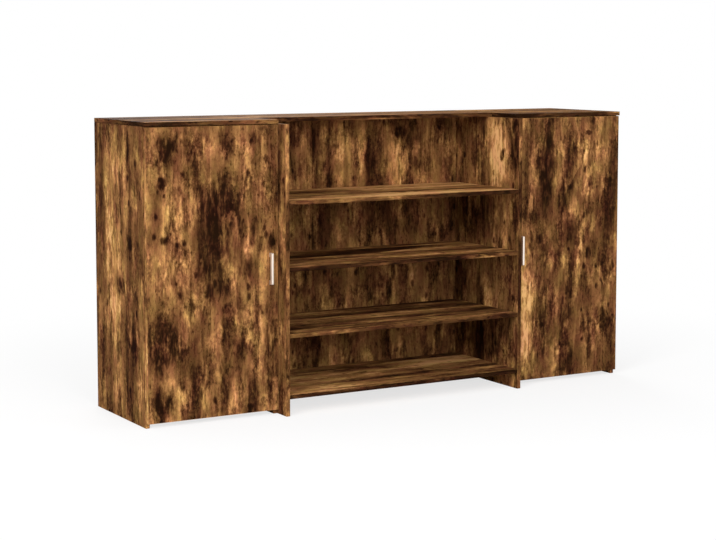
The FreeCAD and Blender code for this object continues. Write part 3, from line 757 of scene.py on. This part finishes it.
# Hinge cups: deep-drawn, nickel-plated steel cups with a flat rim and two ears. They are pressed into the
# doors' bores and screwed down through the ears.
cup_radius = 17.4
cup_wall = 1.0
cup_rim_radius = 20.0
cup_depth = 12.0
cup_ear = 7.5
cup_sides = 48
lying = (quarter, 0, 0)
cup = start_round((cup_x, door_back - cup_depth / 2 + cup_flange / 4, 0), cup_radius,
                  cup_depth + cup_flange / 2, cup_sides, lying)
rim_y = door_back + cup_flange / 2
rim = start_round((cup_x, rim_y, 0), cup_rim_radius, cup_flange, cup_sides, lying)
combine(cup, rim, "UNION")
cup_ears = upright_strap((cup_screw_x, rim_y, 0), lying, cup_ear, cup_screw_spacing, cup_flange)
combine(cup, cup_ears, "UNION")
well_depth = cup_depth + 2 * cup_flange
well = start_round((cup_x, door_back - cup_depth + cup_wall + well_depth / 2, 0), cup_radius - cup_wall,
                   well_depth, cup_sides, lying)
combine(cup, well, "DIFFERENCE")
ease_edges(cup, width=0.3, segments=2)
fit_pair(at_hinges(cup, "left_drawn_cups"), "hinge_cups", doors, plated_steel)

# Hinge arms: folded, nickel-plated steel channels with two adjusting screws, clipped on the plates. Two
# cheeks at the nose reach into the cup and hold the rivet.
arm_height = 10.0
arm_half = 8.0
arm_wall = 1.5
arm_bend = 3.0
arm_front = door_back + cup_flange
arm_back = -118.0
nose_x = -976.0
nose_y = -189.5
nose_radius = 3.0
nose_flat = 0.05
cheek_inside = 4.5
cheek_outside = 6.5
cheek_overlap = 4.0
front_adjuster_y = -164.0
arm_x = outer_face + plate_thickness
arm_top = arm_x + arm_height
arm = start_block((arm_x + arm_height / 2, (arm_front + arm_back) / 2, 0),
                  (arm_height, arm_back - arm_front, 2 * arm_half))
pick(arm, "FACE", lambda middle, direction: direction.x < -square_on or abs(direction.y) > square_on)
bpy.ops.mesh.delete(type="FACE")
round_edges(arm, arm_bend, 5,
            lambda middle, direction: abs(direction.y) > square_on and middle.x > arm_top - touch)
fold = arm.modifiers.new("fold", "SOLIDIFY")
fold.thickness = arm_wall * mm
fold.offset = -1.0
bpy.ops.object.modifier_apply(modifier=fold.name)
cheek_front = nose_y - nose_radius
cheek_back = arm_front + cheek_overlap
for end in (-1, 1):
    cheek_z = end * (cheek_inside + cheek_outside) / 2
    cheek = start_block((nose_x, (cheek_front + cheek_back) / 2, cheek_z),
                        (2 * nose_radius, cheek_back - cheek_front, cheek_outside - cheek_inside))
    round_edges(cheek, nose_radius - nose_flat, 6,
                lambda middle, direction: abs(direction.z) > square_on and middle.y < nose_y)
    combine(arm, cheek, "UNION")
ease_edges(arm, width=0.2, segments=2)
adjusting_screw = cross_screw(head_radius=2.9, head_height=0.9, shank_radius=1.5, length=6.0)
adjuster_seats = [facing((arm_top, y, 0), (1, 0, 0)) for y in (front_adjuster_y, plate_y)]
set_out(adjusting_screw, "adjusters", adjuster_seats)
bpy.data.objects.remove(adjusting_screw)
arm.select_set(True)
bpy.context.view_layer.objects.active = arm
bpy.ops.object.join()
fit_pair(at_hinges(arm, "left_folded_arms"), "hinge_arms", case, plated_steel)

# Hinge rivets: plain zinc-plated steel pins with eased ends. Each goes through both cheeks of an arm and
# carries the link.
rivet_radius = 1.4
rivet_place = Vector((nose_x, nose_y, 0))
rivet = start_round(rivet_place, rivet_radius, 2 * cheek_outside, sides=20)
ease_edges(rivet, width=0.4, segments=3)
fit_pair(at_hinges(rivet, "left_eased_rivets"), "hinge_rivets", case, plated_screw)

# Hinge links: short nickel-plated steel links, curled round the rivets at one end. They turn on the rivets as
# the doors swing, and their other end lies in the cup.
link_half = 4.2
link_knuckle = 2.6
link_length = 10.0
link_thickness = 2.2
link_rise = 4.0
link_run = -10.0
eye_clearance = 0.05
link_turn = math.atan2(link_rise, link_run)
link_end = rivet_place + link_length * Vector((math.cos(link_turn), math.sin(link_turn), 0))
link = start_block((rivet_place + link_end) / 2, (link_length, link_thickness, 2 * link_half),
                   turn=(0, 0, link_turn))
for centre, radius in ((rivet_place, link_knuckle), (link_end, link_thickness / 2)):
    roll = start_round(centre, radius, 2 * link_half, sides=24)
    combine(link, roll, "UNION")
eye = start_round(rivet_place, rivet_radius + eye_clearance, 4 * link_half, sides=20)
combine(link, eye, "DIFFERENCE")
ease_edges(link, width=0.15, segments=1)
fit_pair(at_hinges(link, "left_curled_links"), "hinge_links", ("left_links", "right_links"),
         plated_steel)

# Door bumpers: soft domes of moulded clear polyurethane, stuck inside the doors' free corners. The material
# is clear and glossy, with a little haze from the mould.
bumper_radius = 4.0
bumper_height = 1.7
bumper_rounding = 1.3
bumper_x = -510.0
bumper_end = 30.0
haze_size = 2.0
clear_bumper, tree = new_material("moulded_clear_polyurethane")
place = add_node(tree, "TexCoord", {})
haze = add_node(tree, "TexNoise", {"Vector": place.outputs["Object"], "Scale": 1 / (haze_size * mm),
                                   "Detail": 2.0})
gloss = add_node(tree, "MapRange", {"Value": haze, "To Min": 0.08, "To Max": 0.3})
skin = add_node(tree, "BsdfPrincipled", {"Base Color": linear("#ECECE6"), "Roughness": gloss, "IOR": 1.5,
                                         "Transmission Weight": 0.8})
add_node(tree, "OutputMaterial", {"Surface": skin})
bumper = start_round((0, 0, bumper_height / 2), bumper_radius, bumper_height, sides=24)
round_edges(bumper, bumper_rounding, 5, lambda middle, direction: middle.z > bumper_height - touch)
door_low, door_high = [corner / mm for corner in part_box("left_door")]
bumper_heights = (door_low.z + bumper_end, door_high.z - bumper_end)
bumper_seats = [facing((bumper_x, door_back, z), (0, 1, 0)) for z in bumper_heights]
fit_pair(set_out(bumper, "left_bumper_domes", bumper_seats), "door_bumpers", doors,
         clear_bumper)
bpy.data.objects.remove(bumper)

# Bar pulls: slim, deep bars of cast zinc on two straight legs, with eased edges, screwed on from inside the
# doors. They are plated in satin nickel and brushed along their length.
pull_bar = 12.0
pull_leg = 14.0
pull_corner = 3.0
pull_inner_corner = 2.2
pull_low, pull_high = [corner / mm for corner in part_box("left_door_pull")]
pull_middle = (pull_low + pull_high) / 2
pull_size = pull_high - pull_low
pull_half = pull_size.z / 2
bar_back = pull_low.y + pull_bar
pull = start_block((pull_middle.x, pull_low.y + pull_bar / 2, pull_middle.z),
                   (pull_size.x, pull_bar, pull_size.z))
for z in (pull_low.z + pull_leg, pull_high.z - pull_leg):
    pick(pull, "FACE", lambda middle, direction: True)
    bpy.ops.mesh.bisect(plane_co=(0, 0, z * mm), plane_no=(0, 0, 1), threshold=weld * mm)
pick(pull, "FACE",
     lambda middle, direction: direction.y > square_on and abs(middle.z - pull_middle.z) > pull_leg)
draw_out(0, pull_size.y - pull_bar, 0)
round_edges(pull, pull_corner, 8,
            lambda middle, direction: abs(direction.x) > square_on and middle.y < pull_low.y + touch
            and abs(middle.z - pull_middle.z) > pull_half - touch)
round_edges(pull, pull_inner_corner, 6,
            lambda middle, direction: abs(direction.x) > square_on and abs(middle.y - bar_back) < touch
            and abs(middle.z - pull_middle.z) < pull_half - pull_leg / 2)
ease_edges(pull, width=0.5, segments=3)
pull.name = "left_bar_pull"

# Brushed satin nickel: a warm pale metal whose fine lines spread its shine, so the broad faces are pale and
# the sides take a soft grey from the door. The lines are drawn coarser than real ones, so that they show.
brush_size = (0.35, 0.35, 25.0)
brush_spread = (0.3, 0.7)
brush_roughness = (0.62, 0.50)
brush_depth = 0.1
brush_strength = 0.08
satin_nickel, tree = new_material("brushed_satin_nickel")
place = add_node(tree, "TexCoord", {})
stretched = add_node(tree, "Mapping", {"Vector": place.outputs["Object"],
                                       "Scale": [1 / (line * mm) for line in brush_size]})
brushing = add_node(tree, "TexNoise", {"Vector": stretched, "Scale": 1.0, "Detail": 3.0})
colour = add_node(tree, "Mix", {0: brushing, 6: linear("#D3C7BA"), 7: linear("#E8DCD0")}, data_type="RGBA")
gloss = add_node(tree, "MapRange", (brushing, *brush_spread, *brush_roughness))
relief = add_node(tree, "Bump", {"Height": brushing, "Strength": brush_strength,
                                 "Distance": brush_depth * mm})
skin = add_node(tree, "BsdfPrincipled", {"Base Color": colour.outputs[2], "Metallic": 1.0,
                                         "Roughness": gloss, "Normal": relief})
add_node(tree, "OutputMaterial", {"Surface": skin})
fit_pair(pull, "door_pull", doors, satin_nickel)

# Pull screws: zinc-plated machine screws with a cross slot. They go through the doors into the pulls' legs,
# with their heads inside the cabinets.
pull_screw = cross_screw(head_radius=4.0, head_height=2.6, shank_radius=1.9, length=27.0)
leg_offset = (pull_size.z - pull_leg) / 2
leg_heights = (pull_middle.z - leg_offset, pull_middle.z + leg_offset)
pull_seats = [facing((pull_middle.x, door_back, z), (0, 1, 0)) for z in leg_heights]
fit_pair(set_out(pull_screw, "left_cross_pull_screws", pull_seats), "pull_screws", doors,
         plated_screw)
bpy.data.objects.remove(pull_screw)

# Floor and backdrop: one pale, matt studio floor that keeps a soft shadow. With distance from the desk, it
# fades to the white of the background.
floor_size = 120.0
fade_reach = (0.8, 2.6)
fade_share = (0.72, 1.0)
bpy.ops.object.select_all(action="DESELECT")
bpy.ops.mesh.primitive_plane_add(size=floor_size, location=(0, 0, 0))
floor = bpy.context.object
floor.name = "studio_floor"


def seen_directly(tree):
    """One where the ray comes from the camera or from a mirror or glass, else nought."""
    path = add_node(tree, "LightPath", {}).outputs
    shine = add_node(tree, "Math", (path["Is Camera Ray"], path["Is Glossy Ray"]), operation="MAXIMUM")
    return add_node(tree, "Math", (shine, path["Is Transmission Ray"]), operation="MAXIMUM")


floor_finish, tree = new_material("pale_floor")
place = add_node(tree, "TexCoord", {})
distance = add_node(tree, "VectorMath", (place.outputs["Object"],), operation="LENGTH")
white_share = add_node(tree, "MapRange", (distance.outputs["Value"], *fade_reach, *fade_share),
                       interpolation_type="SMOOTHSTEP")
paint = add_node(tree, "BsdfDiffuse", {"Color": linear("#F4F4F4")})
glow = add_node(tree, "Emission", {"Color": linear("#FFFFFF"), "Strength": 1.0})
share = add_node(tree, "Math", (seen_directly(tree), white_share), operation="MULTIPLY")
mixed = add_node(tree, "MixShader", (share, paint, glow))
add_node(tree, "OutputMaterial", {"Surface": mixed})
floor.data.materials.append(floor_finish)

# Studio sky: plain white where it is seen, as the background is. On the desk it is an even, weaker light from
# all round.
sky_strength = 0.5
world = bpy.data.worlds.new("studio")
bpy.context.scene.world = world
world.use_nodes = True
tree = world.node_tree
tree.nodes.clear()
strength = add_node(tree, "MapRange", (seen_directly(tree), 0.0, 1.0, sky_strength, 1.0))
sky = add_node(tree, "Background", {"Color": linear("#FFFFFF"), "Strength": strength})
add_node(tree, "OutputWorld", {"Surface": sky})

# Studio lights: a key from the left, a broad front light above the camera, a weak fill from the right and one
# behind for the customer side. Their places and sizes are in metres, and their power is in watts.
desk_middle = Vector((0.0, 0.0, 0.5))


def soft_box(name, place, size, power):
    """A square soft box that faces the desk's middle."""
    lamp = bpy.data.lights.new(name, "AREA")
    lamp.shape = "SQUARE"
    lamp.size = size
    lamp.energy = power
    holder = bpy.data.objects.new(name, lamp)
    bpy.context.scene.collection.objects.link(holder)
    holder.location = place
    aim = desk_middle - Vector(place)
    holder.rotation_euler = aim.to_track_quat("-Z", "Y").to_euler()


soft_box("key_light", place=(-5.6, -3.6, 3.4), size=2.6, power=335.0)
soft_box("front_light", place=(-1.0, -5.8, 2.5), size=2.8, power=205.0)
soft_box("fill_light", place=(3.8, -4.2, 2.4), size=3.0, power=55.0)
soft_box("back_light", place=(1.6, 5.6, 3.2), size=3.0, power=130.0)

# Camera: at the photograph's place, a little above the desk and to its left, pitched down with some shift.
# Its place is in metres, and its angles are in degrees, down from level and to the right of straight ahead.
camera_place = (-3.2639, -5.4670, 1.2766)
camera_pitch = 5.200
camera_turn = 30.333
camera_data = bpy.data.cameras.new("photo_camera")
camera_data.lens = 86.379
camera_data.shift_y = -0.09
camera = bpy.data.objects.new("photo_camera", camera_data)
bpy.context.scene.collection.objects.link(camera)
camera.location = camera_place
camera.rotation_euler = (math.radians(90 - camera_pitch), 0.0, math.radians(-camera_turn))
bpy.context.scene.camera = camera

bpy.context.scene.view_settings.view_transform = "Standard"
